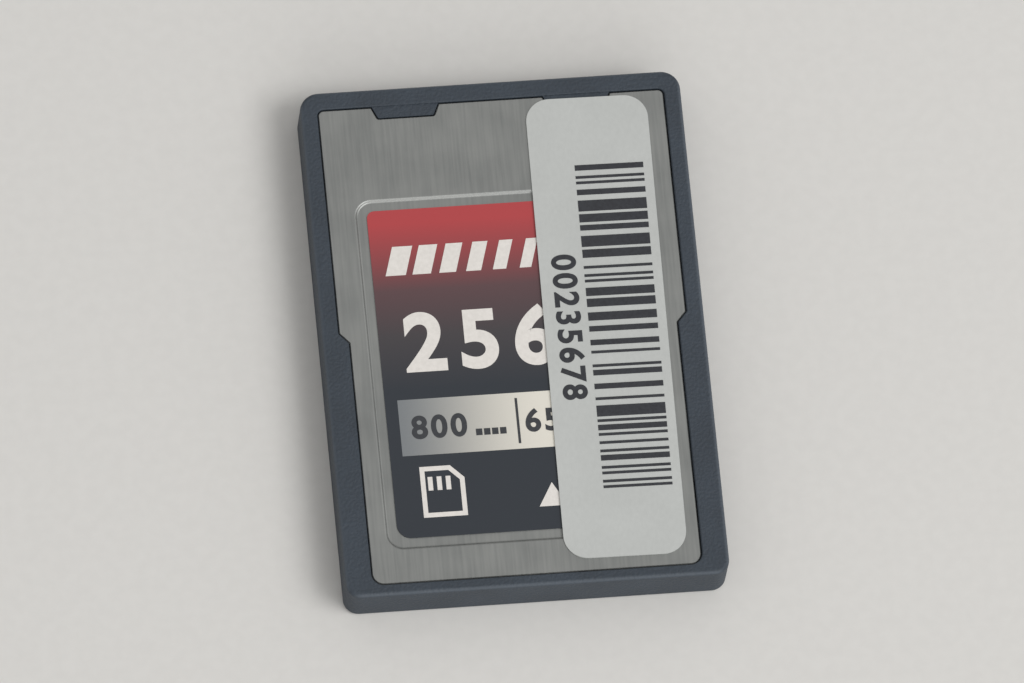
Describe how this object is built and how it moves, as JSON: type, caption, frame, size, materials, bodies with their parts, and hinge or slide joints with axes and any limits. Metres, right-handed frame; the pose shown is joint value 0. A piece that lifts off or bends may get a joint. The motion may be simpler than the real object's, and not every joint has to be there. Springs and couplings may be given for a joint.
{
  "type": "camera memory card",
  "caption": "Flat camera memory card: moulded frame, stamped steel covers, recessed printed label, and a circuit board whose gold contacts show through slots in the back.",
  "frame": {"origin": "middle of the back face, on the surface that the card lies on", "axes": "+X across the card, +Y towards the end that enters the slot, +Z out of the labelled face"},
  "size_m": [0.02, 0.028, 0.0028],
  "materials": {
    "frame_plastic": "fine moulded texture",
    "cover_steel": "satin",
    "board_laminate": "solder mask",
    "contact_gold": "gold plated",
    "chip_mould": "moulded epoxy",
    "ferrite": "matt",
    "crystal_can": "plated",
    "capacitor_ceramic": "fired",
    "resistor_ceramic": "fired",
    "heat_pad": "soft matt",
    "label_film": "printed film",
    "sticker_paper": "matt printed"
  },
  "bodies": {
    "root": {"frame": "frame_plastic", "front_cover": "cover_steel", "back_cover": "cover_steel", "circuit_board": "board_laminate", "contact_pads": "contact_gold", "flash_chip": "chip_mould", "controller_chip": "chip_mould", "power_chip": "chip_mould", "power_inductors": "ferrite", "clock_crystal": "crystal_can", "capacitors": "capacitor_ceramic", "underside_capacitors": "capacitor_ceramic", "resistors": "resistor_ceramic", "flash_heat_pad": "heat_pad", "controller_heat_pad": "heat_pad", "label": "label_film", "barcode_sticker": "sticker_paper"}
  },
  "joints": []
}
